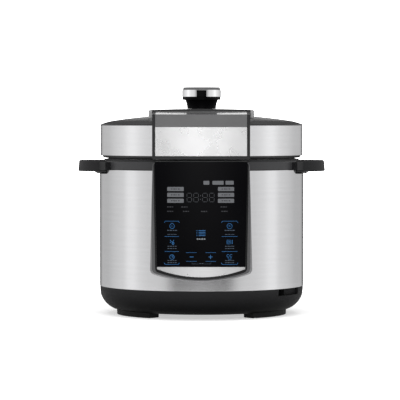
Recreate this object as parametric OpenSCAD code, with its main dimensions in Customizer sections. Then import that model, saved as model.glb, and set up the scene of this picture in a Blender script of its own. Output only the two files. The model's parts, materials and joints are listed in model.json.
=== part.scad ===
// Electric pressure cooker with a hinged lid and a rotary lid lock.
// Millimetres, +Z up, front towards -Y. The origin is on the pot axis at the counter.

/* [Body] */
// Outer diameter of the brushed steel wrap
body_d = 282; // [281:0.5:282.5]
// Height of the base's upper edge, where the wrap starts
base_top = 39.5; // [39:0.5:40]
// Height of the wrap's upper edge
wrap_top = 200; // [199.5:0.5:200]
// Sheet thickness of the wrap
wrap_t = 0.8; // [0.6:0.1:1]
// Rounding radius of the base bowl
base_round = 30; // [28:1:32]
// Height of the rubber feet under the base
foot_h = 6; // [5:0.5:7]
// Direction of the power inlet, in degrees from the front towards the right
inlet_angle = 118; // [112:1:124]
// Direction of the notch under the wrap's edge, measured in the same way
notch_angle = 59; // [56:1:62]

/* [Top ring and handles] */
// Height of the collar's top face
collar_top = 214.5; // [214:0.5:214.5]
// Distance between the outer tips of the two handles
handle_span = 342; // [338:1:346]
// Height of the handles' top face
handle_top = 212.6; // [211:0.2:213]
// Half of the angle that a handle's mounting pad covers
pad_angle = 29; // [26:1:30]

/* [Control panel] */
// Height of the glass's top edge
glass_top = 212.3; // [211:0.1:212.5]
// Height of the glass's bottom edge
glass_bottom = 73; // [72:0.5:75]
// Half width of the glass at its top edge
glass_half_top = 61.8; // [60:0.1:62]
// Half width of the glass at its bottom edge
glass_half_bottom = 58.5; // [57:0.1:59]
// Lean of the panel, in degrees, its bottom edge standing forward
panel_tilt = 2.5; // [2:0.1:3]
// Radius of the panel's front curve in plan
panel_curve = 320; // [300:5:400]
// Distance of the panel's front from the pot axis, at its top
panel_front = 148; // [147:0.5:149]
// Half width of the panel's frame low down, at its front edge
frame_half_front = 64; // [63:0.2:64.4]
// Half width of the panel's frame low down, where it meets the wrap
frame_half_root = 69; // [67:0.5:70]

/* [Lid] */
// Height of the lid's lower edge
lid_bottom = 216; // [216:0.2:216.4]
// Height of the steel band's lower edge
band_bottom = 219.6; // [219.3:0.1:219.9]
// Height of the steel band's upper edge
band_top = 260.4; // [259:0.2:261]
// Outer radius of the steel band
band_r = 139.9; // [139.4:0.1:140.2]
// Height of the dome at its centre
dome_top = 276.3; // [275.8:0.1:276.6]
// Radius of the dome's sphere
dome_sphere = 810; // [780:5:850]
// Half width of the bridge over the dome
bridge_half = 72; // [70:0.5:74]
// Height of the bridge's crown
bridge_top = 283.1; // [282.5:0.1:283.2]

/* [Knob and lock] */
// Diameter of the knob's chrome band
knob_d = 54; // [52:0.5:56]
// Height of the knob's top face
knob_top = 313.3; // [312:0.1:315]
// Diameter of the shaft that turns the lock plate
shaft_d = 10; // [9:0.5:11]

/* [Inner pot] */
// Inner radius of the pot
pot_r = 111.2; // [110:0.1:111.3]
// Wall thickness of the pot
pot_t = 1.2; // [1:0.1:1.6]
// Height of the pot's rim
pot_rim = 205.5; // [205:0.1:205.5]

/* [Hidden] */
$fn = 96;
fine = 360;
body_r = body_d / 2;
wrap_in = body_r - wrap_t;
window_half = 50;
window_low = 66;
window_high = 196;
gap = 0.3;
fit = 0.05;
eps = 0.01;
deep = 400;

base_centre_r = body_r - 0.3 - base_round;
base_wall = 3;
housing_foot = 44.8;
spigot_r = wrap_in - gap;
spigot_top = base_top + 6.5;
cover_r = 80;
fixing_angles = [90, 210, 330];
cover_screw_angles = [45:90:315];
handle_screw_angles = [-17, 17];
bracket_screw_angles = [-9, 9];
bracket_screw_z = [184, 194];
fixing_r = 98;
cover_screw_r = 77;
side_screw_z = 196.6;

collar_in = 126.2;
ring_out = 125.5;
ring_in = 122;
tooth_in = 115;
plate_r = 113.5;
plate_tooth_r = 120.5;
tooth_z = 214.6;
teeth = 6;
tooth_pitch = 360 / teeth;
ring_notch_half = tooth_pitch / 2 - 13;
plate_tooth_half = 14;
ring_top = 218;
flange_top = 200;
flange_r = 133;

pot_floor = 54.3;
plate_top = 54;
plate_base = 46.2;
housing_in = pot_r + pot_t + 3;
housing_t = 0.8;
housing_out = housing_in + housing_t;

sensor_r = 14;
sensor_top = plate_top - 0.1;

rim_start = 122;
rim_drop = 2.1;
lid_deck = band_bottom + 0.1;
deck_t = 1.2;
inner_lid_z = 208.6;
inner_lid_t = 1.2;
inner_lid_r = 114.2;
lock_z = 210.6;
lock_t = 2.4;
shaft_r = shaft_d / 2;
valve_y = 70;
float_x = -35;
float_y = 72;
float_r = 3;
float_cap_r = 4.6;
float_cap_z = bridge_top - 2.6;

hinge_y = 149;
hinge_z = 216;
pin_r = 3;
knuckle_r = 7.5;
knuckle_half = 17;

nose_front = panel_front;
nose_half = 61;
cheek_half = 65.2;
nose_z = 275.3;
nose_back = 62;
nose_back_z = 279.8;
bridge_back = 118;
bridge_in = bridge_half - 5;

cup_half = 31;
cup_bottom = 132;
cup_h = 43;
cup_y = 142.4;
cup_depth = 14.8;

inlet_floor_r = 116;

// ---------- shared shapes ----------

// A ring between two radii and two heights
module ring(r_out, r_in, z0, z1) {
    translate([0, 0, z0]) difference() {
        cylinder(r = r_out, h = z1 - z0);
        translate([0, 0, -1]) cylinder(r = r_in, h = z1 - z0 + 2);
    }
}

// A block centred on X
module block(half_x, y0, y1, z0, z1) {
    translate([-half_x, y0, z0]) cube([2 * half_x, y1 - y0, z1 - z0]);
}

// A cylinder along X, centred on x = 0 unless x0 is given
module rod_x(r, y, z, x0, x1) {
    translate([x0, y, z]) rotate([0, 90, 0]) cylinder(r = r, h = x1 - x0);
}

// Points along an arc, for outlines
function arc(cx, cy, r, a0, a1, n) =
    [for (i = [0:n]) [cx + r * cos(a0 + (a1 - a0) * i / n), cy + r * sin(a0 + (a1 - a0) * i / n)]];

// A front view outline, given in X and Z, made solid from y0 to y1
module front_view(y0, y1) {
    translate([0, y1, 0]) rotate([90, 0, 0]) linear_extrude(y1 - y0) children();
}

// A side view outline, given in Y and Z, made solid from -half to half
module side_view(half) {
    translate([-half, 0, 0]) rotate([90, 0, 90]) linear_extrude(2 * half) children();
}

// A screw along +X with its head's underside at the origin
module screw_x(r, head_r, head_h, length) {
    rotate([0, 90, 0]) {
        cylinder(r = r, h = length);
        translate([0, 0, -head_h]) difference() {
            cylinder(r = head_r, h = head_h);
            for (a = [0, 90]) rotate([0, 0, a]) translate([-head_r * 0.6, -0.5, -1]) {
                cube([head_r * 1.2, 1, 1.8]);
            }
        }
    }
}

// A round wire wound along +Z: coil radius, wire radius, turns, length
module coil(coil_r, wire_r, turns, length) {
    steps = 12;
    sides = 6;
    count = turns * steps;
    points = [for (i = [0:count], j = [0:sides - 1])
        let (a = 360 * i / steps, b = 360 * j / sides, r = coil_r + wire_r * cos(b))
        [r * cos(a), r * sin(a), wire_r + (length - 2 * wire_r) * i / count + wire_r * sin(b)]];
    skin = [for (i = [0:count - 1], j = [0:sides - 1])
        let (k = (j + 1) % sides)
        [i * sides + j, (i + 1) * sides + j, (i + 1) * sides + k, i * sides + k]];
    start = [[for (j = [0:sides - 1]) j]];
    end = [[for (j = [sides - 1:-1:0]) count * sides + j]];
    polyhedron(points, concat(skin, start, end));
}

// ---------- base ----------

// Outline of the base bowl's outside, from the bottom up to the spigot
function bowl_outside() = concat(
    arc(base_centre_r, foot_h + base_round, base_round, -90, 0, 18),
    [[base_centre_r + base_round, base_top], [spigot_r, base_top], [spigot_r, spigot_top]]
);

// Outline of its inside, from the spigot down
function bowl_inside() = concat(
    [[spigot_r - base_wall, spigot_top], [spigot_r - base_wall, base_top + 1]],
    arc(base_centre_r, foot_h + base_round, base_round - base_wall, 0, -90, 12)
);

// Radius of the bowl at a height, moved inwards by shrink
function bowl_r(z, shrink) =
    base_centre_r + sqrt(pow(base_round - shrink, 2) - pow(foot_h + base_round - z, 2));

// The base bowl as a full solid, up to the spigot's top
module base_envelope() {
    rotate_extrude() polygon(concat([[0, foot_h]], bowl_outside(), [[0, spigot_top]]));
}

// Places children at a direction measured from the front, +X pointing out of the body
module facing(angle) {
    rotate([0, 0, angle - 90]) children();
}

// The inlet's pocket, grown by wall on the sides that its walls need
module inlet_pocket(wall) {
    over = wall > 0 ? 2.5 : 0;
    facing(inlet_angle) translate([inlet_floor_r - wall, -18 - wall, 15.5 - wall]) {
        cube([40, 36 + 2 * wall, 24 + wall + over]);
    }
}

// The shallow notch under the wrap's edge, with a deeper pocket at its front end
module side_notch(wall) {
    over = wall > 0 ? 2.5 : 0;
    height = 9.5 + wall + over;
    facing(notch_angle) {
        translate([133.6 - wall, -27 - wall, base_top - 9.5 - wall]) cube([20, 54 + 2 * wall, height]);
        translate([124 - wall, -24 - wall, base_top - 9.5 - wall]) cube([20, 20 + 2 * wall, height]);
    }
}

module base_pan() {
    color([0.09, 0.09, 0.1]) difference() {
        union() {
            rotate_extrude() polygon(concat(
                [[71, foot_h]], bowl_outside(), bowl_inside(), [[71, foot_h + base_wall]]
            ));
            intersection() {
                union() {
                    inlet_pocket(2.5);
                    side_notch(2);
                }
                rotate_extrude() polygon(concat(
                    [[0, 9]],
                    [for (z = [11, 22, 34]) [bowl_r(z, base_wall / 2), z]],
                    [[spigot_r - base_wall / 2, spigot_top - 1], [0, spigot_top - 1]]
                ));
            }
            for (a = fixing_angles) rotate([0, 0, a]) translate([fixing_r, 0, foot_h]) {
                cylinder(r = 5, h = housing_foot - gap - foot_h);
            }
            for (a = cover_screw_angles) rotate([0, 0, a]) translate([cover_screw_r, 0, foot_h + 2]) {
                cylinder(r = 4.5, h = 10);
            }
        }
        translate([0, 0, -1]) cylinder(r = cover_r + gap, h = foot_h + 2.6);
        inlet_pocket(0);
        side_notch(0);
        facing(inlet_angle) translate([inlet_floor_r - 5, -13.7, 17.3]) cube([10, 27.4, 20.4]);
        for (a = fixing_angles) rotate([0, 0, a]) translate([fixing_r, 0, 0]) {
            translate([0, 0, -1]) cylinder(r = 2.05, h = 60);
            translate([0, 0, -1]) cylinder(r = 4, h = foot_h + 3);
        }
        for (a = cover_screw_angles) rotate([0, 0, a]) translate([cover_screw_r, 0, 0]) {
            cylinder(r = 1.55, h = 15.5);
        }
        for (a = [9:18:351]) rotate([0, 0, a]) translate([85, -1.5, -1]) cube([7, 3, 20]);
    }
}

module bottom_cover() {
    color([0.16, 0.16, 0.17]) difference() {
        translate([0, 0, foot_h + 0.3]) cylinder(r = cover_r, h = 1.2);
        for (a = cover_screw_angles) rotate([0, 0, a]) translate([cover_screw_r, 0, 0]) {
            cylinder(r = 1.7, h = 20);
        }
        for (a = [0:30:330]) rotate([0, 0, a]) translate([28, -1.5, 0]) cube([30, 3, 20]);
    }
}

module bottom_cover_screws() {
    color("silver") for (a = cover_screw_angles) rotate([0, 0, a]) {
        translate([cover_screw_r, 0, foot_h + 0.3]) rotate([0, -90, 0]) screw_x(1.5, 2.8, 1.6, 8);
    }
}

module base_screws() {
    color("silver") for (a = fixing_angles) rotate([0, 0, a]) {
        translate([fixing_r, 0, foot_h + 2]) rotate([0, -90, 0]) screw_x(2, 3.5, 1.9, 40);
    }
}

// One arc-shaped foot, centred on an angle measured from the front
module foot(angle) {
    inner = 97;
    outer = 118.5;
    color([0.07, 0.07, 0.07]) rotate([0, 0, angle - 90 - 21.5]) difference() {
        rotate_extrude(angle = 43) polygon([
            [inner + 1, 0], [outer - 1.2, 0], [outer, 1.2], [outer, 10], [inner, 10], [inner, 1]
        ]);
        base_envelope();
    }
}

module foot_front_left() foot(-58);
module foot_front_right() foot(58);
module foot_rear_left() foot(-122);
module foot_rear_right() foot(122);

// ---------- shell ----------

module side_screw_holes(r) {
    for (side = [0, 180], a = handle_screw_angles) rotate([0, 0, side + a]) {
        translate([130, 0, side_screw_z]) rotate([0, 90, 0]) cylinder(r = r, h = 20);
    }
    for (a = bracket_screw_angles, z = bracket_screw_z) rotate([0, 0, 90 + a]) {
        translate([130, 0, z]) rotate([0, 90, 0]) cylinder(r = r, h = 20);
    }
}

module outer_wrap() {
    color([0.78, 0.78, 0.79]) difference() {
        ring(body_r, wrap_in, base_top, wrap_top);
        block(window_half, -body_r - 5, -100, window_low, window_high);
        side_screw_holes(2.2);
    }
}

module side_screws() {
    color("silver") {
        for (side = [0, 180], a = handle_screw_angles) rotate([0, 0, side + a]) {
            translate([wrap_in - 0.2, 0, side_screw_z]) screw_x(2, 3.3, 2.2, 7);
        }
        for (a = bracket_screw_angles, z = bracket_screw_z) rotate([0, 0, 90 + a]) {
            translate([wrap_in - 0.2, 0, z]) screw_x(2, 3.3, 2.2, 4.6);
        }
    }
}

module top_collar() {
    skin = 2.6;
    step_r = 134.4;
    shoulder = collar_top - 2.3;
    color([0.27, 0.27, 0.28]) rotate_extrude() polygon([
        [body_r - 1.4, wrap_top + 0.02], [body_r - 1.4, wrap_top + 0.9], [body_r, wrap_top + 0.9],
        [body_r, shoulder - 1.4], [body_r - 0.5, shoulder - 0.4], [body_r - 1.4, shoulder],
        [step_r, shoulder], [step_r, collar_top - 0.5], [step_r - 0.5, collar_top],
        [collar_in, collar_top], [collar_in, flange_top + 3], [collar_in + skin, flange_top + 3],
        [collar_in + skin, collar_top - skin], [step_r - skin, collar_top - skin],
        [step_r - skin, shoulder - skin], [body_r - skin - 0.8, shoulder - skin],
        [body_r - skin - 0.8, wrap_top + 0.02]
    ]);
}

// The right-hand handle; the left one is its mirror image
module handle() {
    pad_out = 149;
    wing_r = 60;
    wing_x = handle_span / 2 - wing_r;
    wing_bottom = handle_top - 15.3;
    pad_bottom = 194.4;
    low_angle = 20.5;
    pad_top = handle_top - 2;
    color([0.1, 0.1, 0.11]) difference() {
        union() {
            rotate([0, 0, -pad_angle]) rotate_extrude(angle = 2 * pad_angle) polygon([
                [body_r - 2, wrap_top - 0.4], [pad_out, wrap_top - 0.4], [pad_out, pad_top - 0.9],
                [pad_out - 1, pad_top], [body_r - 2, pad_top]
            ]);
            rotate([0, 0, -low_angle]) rotate_extrude(angle = 2 * low_angle) polygon([
                [body_r - 2, pad_bottom], [pad_out - 4, pad_bottom], [pad_out - 0.3, pad_bottom + 2.6],
                [pad_out - 0.3, wrap_top + 1], [body_r - 2, wrap_top + 1]
            ]);
            intersection() {
                union() {
                    translate([wing_x, 0, wing_bottom]) cylinder(r1 = wing_r - 1, r2 = wing_r, h = 1);
                    translate([wing_x, 0, wing_bottom + 1]) {
                        cylinder(r1 = wing_r, r2 = wing_r - 1.2, h = 12.8);
                    }
                    translate([wing_x, 0, handle_top - 1.5]) {
                        cylinder(r1 = wing_r - 1.2, r2 = wing_r - 2.7, h = 1.5);
                    }
                }
                translate([130, -80, 0]) cube([60, 160, deep]);
            }
        }
        translate([0, 0, -1]) cylinder(r = body_r + gap, h = deep);
        // finger hollow under the wing
        difference() {
            translate([wing_x, 0, wing_bottom - 1]) cylinder(r = wing_r - 4.5, h = 12);
            cylinder(r = pad_out + 0.5, h = deep);
        }
        for (a = handle_screw_angles) rotate([0, 0, a]) translate([130, 0, side_screw_z]) {
            rotate([0, 90, 0]) cylinder(r = 2.05, h = 17.4);
        }
    }
}

module right_handle() handle();
module left_handle() mirror([1, 0, 0]) handle();

// ---------- inner vessel ----------

// One sector for each tooth, between two radii and two heights, from -half to half degrees
module tooth_sectors(r0, r1, half, z0, z1) {
    for (i = [0:teeth - 1]) rotate([0, 0, i * tooth_pitch - half]) {
        rotate_extrude(angle = 2 * half) translate([r0, z0]) square([r1 - r0, z1 - z0]);
    }
}

module locking_ring() {
    color([0.72, 0.72, 0.73]) difference() {
        rotate_extrude() polygon([
            [flange_r, flange_top + gap], [flange_r, flange_top + 2.5], [ring_out, flange_top + 2.5],
            [ring_out, ring_top], [tooth_in, ring_top], [tooth_in, tooth_z],
            [ring_in, tooth_z], [ring_in, flange_top + gap]
        ]);
        tooth_sectors(tooth_in - 5, ring_in - 0.1, ring_notch_half, tooth_z - 1, ring_top + 1);
    }
}

module inner_housing() {
    well_r = 17;
    color([0.6, 0.61, 0.62]) difference() {
        union() {
            ring(housing_out, housing_in, housing_foot, 203.4);
            ring(flange_r, housing_in, flange_top - housing_t, flange_top);
            translate([0, 0, housing_foot]) cylinder(r = housing_out, h = housing_t);
            translate([0, 0, 32]) cylinder(r = well_r + 1.2, h = 13);
        }
        translate([0, 0, 33.2]) cylinder(r = well_r, h = 20);
        translate([0, 0, 20]) cylinder(r = 4.4, h = 20);
        for (a = [250, 290]) rotate([0, 0, a]) translate([60, 0, 30]) cylinder(r = 3.5, h = 20);
        for (a = fixing_angles) rotate([0, 0, a]) translate([fixing_r, 0, 40]) cylinder(r = 2.05, h = 10);
    }
}

module inner_pot() {
    c = 12;
    wall = pot_t;
    floor_extra = 0.7;
    out = pot_r + wall;
    color([0.82, 0.82, 0.83]) rotate_extrude() polygon(concat(
        [[0, pot_floor]],
        arc(out - c - wall, pot_floor + c + wall, c + wall, -90, 0, 10),
        [[out, pot_rim - wall], [pot_r + 8.4, pot_rim - wall], [pot_r + 8.4, pot_rim], [pot_r, pot_rim]],
        arc(pot_r - c, pot_floor + c + wall + floor_extra, c, 0, -90, 10),
        [[0, pot_floor + wall + floor_extra]]
    ));
}

module heating_plate() {
    color([0.66, 0.66, 0.67]) difference() {
        union() {
            translate([0, 0, plate_base]) cylinder(r = 86.5, h = plate_top - plate_base - 1);
            translate([0, 0, plate_top - 1]) cylinder(r1 = 86.5, r2 = 85.5, h = 1);
        }
        translate([0, 0, 40]) cylinder(r = sensor_r + 1, h = 30);
        ring(64, 56, plate_base - 1, 51.2);
    }
}

module heating_element() {
    color([0.45, 0.43, 0.4]) {
        rotate([0, 0, 290]) rotate_extrude(angle = 320) translate([60, 48.8]) circle(r = 2.2);
        for (a = [250, 290]) rotate([0, 0, a]) translate([60, 0, 38]) cylinder(r = 2.2, h = 10.8);
    }
}

module temperature_sensor() {
    color([0.7, 0.7, 0.7]) {
        translate([0, 0, sensor_top - 1]) cylinder(r1 = sensor_r, r2 = sensor_r - 1, h = 1);
        difference() {
            translate([0, 0, sensor_top - 8]) cylinder(r = sensor_r, h = 7);
            ring(sensor_r - 1.5, 4, sensor_top - 9, sensor_top - 2);
        }
        translate([0, 0, 27]) cylinder(r = 4, h = sensor_top - 27 - 0.5);
    }
}

module sensor_spring() {
    color("silver") translate([0, 0, 33.4]) coil(6.6, 0.6, 6, 18.2);
}

module pressure_switch() {
    color([0.15, 0.15, 0.16]) {
        translate([-12, 34, 31.5]) cube([24, 9, 11]);
        translate([-9, 43, 36]) cube([18, 1.5, 8.6]);
        translate([-3, 36, 42.5]) cube([6, 4, 2.1]);
    }
}

module thermal_fuse() {
    color([0.85, 0.82, 0.75]) rotate([0, 0, 130]) {
        translate([housing_out + 0.1, -9, 90]) cube([2.2, 18, 8]);
        translate([housing_out + 4.2, -14, 94]) rotate([-90, 0, 0]) cylinder(r = 2.2, h = 28);
    }
}

// ---------- control panel ----------

// Moves children from upright panel coordinates onto the leaning front
module on_panel() {
    translate([0, -panel_front, glass_top]) rotate([-panel_tilt, 0, 0]) {
        translate([0, 0, -glass_top]) children();
    }
}

// A layer of the curved front, from a depth to a deeper one
module front_layer(d0, d1) {
    difference() {
        translate([0, panel_curve, 0]) cylinder(r = panel_curve - d0, h = deep, $fn = fine);
        translate([0, panel_curve, -1]) cylinder(r = panel_curve - d1, h = deep + 2, $fn = fine);
        translate([-deep, 60, -2]) cube([2 * deep, 2 * deep, deep + 4]);
    }
}

// A trapezium given by its half widths at two heights
module trapezium(half_top, z_top, half_bottom, z_bottom) {
    polygon([[-half_bottom, z_bottom], [half_bottom, z_bottom], [half_top, z_top], [-half_top, z_top]]);
}

// Lower edge of a panel outline: everything above an arc that dips to z_low
module above_arc(z_low, r) {
    translate([0, z_low + r]) circle(r = r, $fn = fine);
}

module glass_outline() {
    trapezium(glass_half_top, glass_top, glass_half_bottom, glass_bottom);
}

module crescent_outline() {
    intersection() {
        trapezium(glass_half_bottom, glass_bottom - gap, glass_half_bottom - 0.3, glass_bottom - 20);
        above_arc(59.2, 166);
    }
}

module bezel_outline() {
    offset(r = 6) offset(delta = -6) intersection() {
        trapezium(63.5, glass_top + 0.5, 60.6, 40);
        above_arc(55.8, 176);
    }
}

// The frame's outline at its front edge, and at its root, where it is wider
module frame_outline(half_low, z_low) {
    offset(r = 7) offset(delta = -7) intersection() {
        trapezium(64.7, glass_top + 0.9, half_low, 40);
        above_arc(z_low, 186);
    }
}

module control_frame() {
    color([0.3, 0.3, 0.31]) difference() {
        intersection() {
            on_panel() hull() {
                front_view(-1, 0) frame_outline(frame_half_front, 54.6, $fn = 32);
                front_view(26, 27) frame_outline(frame_half_root, 51.4, $fn = 32);
            }
            on_panel() front_layer(0.4, 80);
        }
        translate([0, 0, -1]) cylinder(r = body_r + gap, h = deep);
        on_panel() front_view(-40, 60) offset(delta = 0.1) bezel_outline($fn = 32);
    }
}

module panel_bezel() {
    color([0.06, 0.06, 0.065]) difference() {
        intersection() {
            on_panel() front_layer(0.6, 12);
            on_panel() front_view(-10, 40) bezel_outline($fn = 32);
        }
        translate([0, 0, -1]) cylinder(r = body_r + gap, h = deep);
        on_panel() intersection() {
            front_layer(-1, 3.2);
            front_view(-10, 40) {
                offset(delta = 0.15) glass_outline();
                intersection() {
                    trapezium(glass_half_bottom + 0.15, glass_bottom, glass_half_bottom, glass_bottom - 20);
                    above_arc(59, 166);
                }
            }
        }
        on_panel() block(54, -10, 40, 80, 206);
    }
}

module control_glass() {
    color([0.03, 0.03, 0.035]) on_panel() intersection() {
        front_layer(0, 3);
        front_view(-10, 20) glass_outline();
    }
}

module crescent_trim() {
    color([0.8, 0.8, 0.8]) on_panel() intersection() {
        front_layer(-0.3, 3);
        front_view(-10, 20) crescent_outline();
    }
}

module display_module() {
    color([0.12, 0.14, 0.16]) on_panel() block(46, 6.6, 10.8, 140, 192);
}

module control_board() {
    color([0.1, 0.35, 0.2]) on_panel() {
        block(49, 11, 12.6, 82, 194);
        for (x = [-40, 0, 40], z = [92, 108, 124]) translate([x, 12.6, z]) rotate([-90, 0, 0]) {
            cylinder(r = 4, h = 3);
        }
        block(12, 12.6, 15.6, 150, 174);
    }
}

module power_board() {
    color([0.12, 0.38, 0.22]) translate([-48, 0, foot_h + 8]) {
        translate([-28, -34, 0]) cube([56, 68, 1.6]);
        translate([-22, -28, 1.6]) cube([18, 16, 13]);
        translate([2, -26, 1.6]) cube([20, 24, 10]);
        translate([-12, 14, 1.6]) cylinder(r = 7, h = 12);
        translate([12, 14, 1.6]) cylinder(r = 6, h = 11);
        for (x = [-24, 24], y = [-30, 30]) translate([x, y, -4.4]) cylinder(r = 2.5, h = 4.5);
    }
}

module power_inlet() {
    color([0.05, 0.05, 0.05]) facing(inlet_angle) difference() {
        union() {
            translate([inlet_floor_r - 22, -13.5, 17.5]) cube([22.1, 27, 20]);
            translate([inlet_floor_r + 0.05, -17, 16.2]) cube([1.6, 34, 22.6]);
        }
        translate([inlet_floor_r - 16, 0, 0]) rotate([90, 0, 90]) linear_extrude(30) polygon([
            [-12, 19.3], [12, 19.3], [12, 31.5], [8, 35.7], [-8, 35.7], [-12, 31.5]
        ]);
    }
}

module inlet_pins() {
    color("silver") facing(inlet_angle) for (p = [[-7, 25.2], [7, 25.2], [0, 30.2]]) {
        translate([inlet_floor_r - 15.98, p[0] - 1, p[1] - 2]) cube([13.5, 2, 4]);
    }
}

// ---------- hinge and condensate cup ----------

module hinge_bracket() {
    color([0.13, 0.13, 0.14]) difference() {
        union() {
            block(32, 130, 146, 178, 206);
            for (side = [-1, 1]) {
                translate([side * 22.5 - 4.5, 143, 190]) cube([9, 12, hinge_z - 190]);
                rod_x(7, hinge_y, hinge_z, side * 22.5 - 4.5, side * 22.5 + 4.5);
            }
        }
        translate([0, 0, 100]) cylinder(r = body_r + gap, h = deep);
        rod_x(pin_r + fit, hinge_y, hinge_z, -40, 40);
        for (a = bracket_screw_angles, z = bracket_screw_z) rotate([0, 0, 90 + a]) translate([130, 0, z]) {
            rotate([0, 90, 0]) cylinder(r = 2.05, h = 15);
        }
    }
}

module hinge_pin() {
    color("silver") {
        rod_x(pin_r, hinge_y, hinge_z, -29, 29);
        for (x = [-29, 27.3]) rod_x(4.6, hinge_y, hinge_z, x, x + 1.7);
    }
}

module hinge_spring() {
    color("silver") translate([-6.5, hinge_y, hinge_z]) rotate([0, 90, 0]) coil(4.6, 0.6, 9, 13);
}

module hinge_arm() {
    color([0.62, 0.62, 0.63]) difference() {
        union() {
            rod_x(knuckle_r, hinge_y, hinge_z, -knuckle_half, knuckle_half);
            block(knuckle_half, 112, hinge_y, lid_deck + deck_t + 0.02, 225);
            block(knuckle_half, 142, hinge_y, 216, 223);
        }
        rod_x(pin_r + fit, hinge_y, hinge_z, -40, 40);
        block(7.5, 140.5, 170, 200, 230);
    }
}

module cup_holder() {
    color([0.13, 0.13, 0.14]) difference() {
        block(38, 128, 156, cup_bottom - 1, cup_bottom + cup_h + 3);
        translate([0, 0, 100]) cylinder(r = body_r + gap, h = deep);
        block(cup_half + gap, 100, 170, 100, cup_bottom + cup_h + 1);
        block(cup_half + 3.3, 147.7, 151.3, 100, cup_bottom + cup_h + 1);
    }
}

module condensate_cup() {
    t = 1.6;
    y1 = cup_y + cup_depth;
    color([0.75, 0.78, 0.8, 0.6]) difference() {
        union() {
            block(cup_half, cup_y, y1, cup_bottom, cup_bottom + cup_h);
            block(cup_half + 3, 148, 151, cup_bottom, cup_bottom + cup_h);
        }
        block(cup_half - t, cup_y + t, y1 - t, cup_bottom + t, deep);
    }
}

// ---------- lid shell ----------

// Height of the dome at a distance from its centre: a sphere whose rim turns down
function dome_z(r) = dome_top - dome_sphere + sqrt(dome_sphere * dome_sphere - r * r)
    - rim_drop * pow(max(0, r - rim_start) / (band_r - rim_start), 2);

// Everything under the dome's outer surface, lowered by drop
module under_dome(drop = 0, r = band_r) {
    steps = 20;
    rotate_extrude() polygon(concat(
        [[0, 100], [r, 100]],
        [for (i = [steps:-1:0]) [r * i / steps, dome_z(r * i / steps) - drop]]
    ));
}

module lid_cover() {
    t = 2.4;
    color([0.3, 0.3, 0.31]) difference() {
        under_dome();
        difference() {
            under_dome(t);
            translate([0, 0, 100]) difference() {
                cylinder(r = 200, h = deep);
                translate([0, 0, -1]) cylinder(r = band_r - t, h = deep);
            }
        }
        translate([0, 0, 90]) cylinder(r = 200, h = band_top - 90 + eps);
        block(cheek_half + 0.2, -160, -122, 200, 300);
        translate([0, 0, 200]) cylinder(r = 12, h = 100);
        translate([0, valve_y, 200]) cylinder(r = 7, h = 100);
        translate([float_x, float_y, 200]) cylinder(r = 5, h = 100);
    }
}

module lid_band() {
    color([0.8, 0.8, 0.81]) difference() {
        ring(band_r, band_r - 1.2, band_bottom + 0.05, band_top - 0.05);
        block(cheek_half + 0.2, -160, 0, 200, 300);
        block(knuckle_half + 0.4, 100, 160, 200, 225.4);
    }
}

// The lid's dark edge, with a lip inside it that hides the locking ring
module lid_skirt() {
    lip_bottom = collar_top + gap;
    color([0.1, 0.1, 0.11]) difference() {
        rotate_extrude() polygon([
            [127.5, lip_bottom], [129, lip_bottom], [129, lid_bottom],
            [134.5, lid_bottom], [136.5, lid_bottom + 0.8],
            [136.8, band_bottom - 1], [band_r + 0.3, band_bottom - 0.7],
            [band_r + 0.3, band_bottom], [127.5, band_bottom]
        ]);
        block(cheek_half + 0.2, -160, -138, 200, 300);
    }
}

// The shape of the nose's top as seen from the side
function nose_top(y) = nose_z + (nose_back_z - nose_z) * (nose_front + y) / (nose_front - nose_back);

module nose_side(drop, front, z_low) {
    polygon([
        [-front, z_low], [-front, nose_top(-front) - drop - 1.5], [-front + 1.5, nose_top(-front) - drop],
        [-nose_back, nose_back_z - drop], [-nose_back, z_low]
    ]);
}

// The lid's front surface curves in plan as the panel does
module nose_plan(inset) {
    translate([0, panel_curve - nose_front, 100]) {
        cylinder(r = panel_curve - inset, h = deep, $fn = fine);
    }
}

module nose_carrier() {
    color([0.07, 0.07, 0.08]) difference() {
        intersection() {
            side_view(cheek_half) nose_side(0.5, nose_front + 10, lid_bottom - 0.4);
            nose_plan(0.8);
        }
        // hollow from behind, leaving a front wall and two cheeks
        intersection() {
            side_view(nose_half - 2) nose_side(4, nose_front + 10, lid_bottom + 3);
            nose_plan(6);
        }
        // seats for the fascia and the nose
        difference() {
            block(nose_half + 0.15, -170, 0, band_bottom + 0.2, 300);
            nose_plan(3.2);
            block(nose_half + 2, -170, 0, 200, 258.45);
        }
        difference() {
            block(nose_half + 0.15, -170, 0, band_bottom + 0.2, 258.6);
            nose_plan(3.2);
        }
        block(nose_half + 0.15, -170, 0, 258.4, 300);
        difference() {
            under_dome(-0.1, band_r + 0.1);
            block(100, -170, -121.9, 0, 300);
        }
        block(cheek_half + 1, -121.9, 0, 0, 262);
        block(cheek_half + 1, -138.1, 0, 0, band_bottom + 0.05);
    }
}

module lid_fascia() {
    color([0.85, 0.85, 0.86]) intersection() {
        difference() {
            nose_plan(0);
            nose_plan(3);
        }
        block(nose_half, -170, -100, band_bottom + 0.4, 258.4);
    }
}

module bridge_nose() {
    color([0.48, 0.48, 0.49]) difference() {
        intersection() {
            side_view(nose_half) nose_side(0, nose_front + 10, 258.6);
            nose_plan(0);
        }
        intersection() {
            side_view(nose_half - 2.5) nose_side(2.5, nose_front + 10, 200);
            nose_plan(2.5);
        }
        under_dome(-0.2, band_r + 0.2);
        block(nose_half + 1, -121.9, 0, 0, 264);
    }
}

// Height of the bridge's crown line at a distance from the middle
function crown_z(x, top) = top - 1.4 * pow(x / bridge_half, 2);

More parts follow.
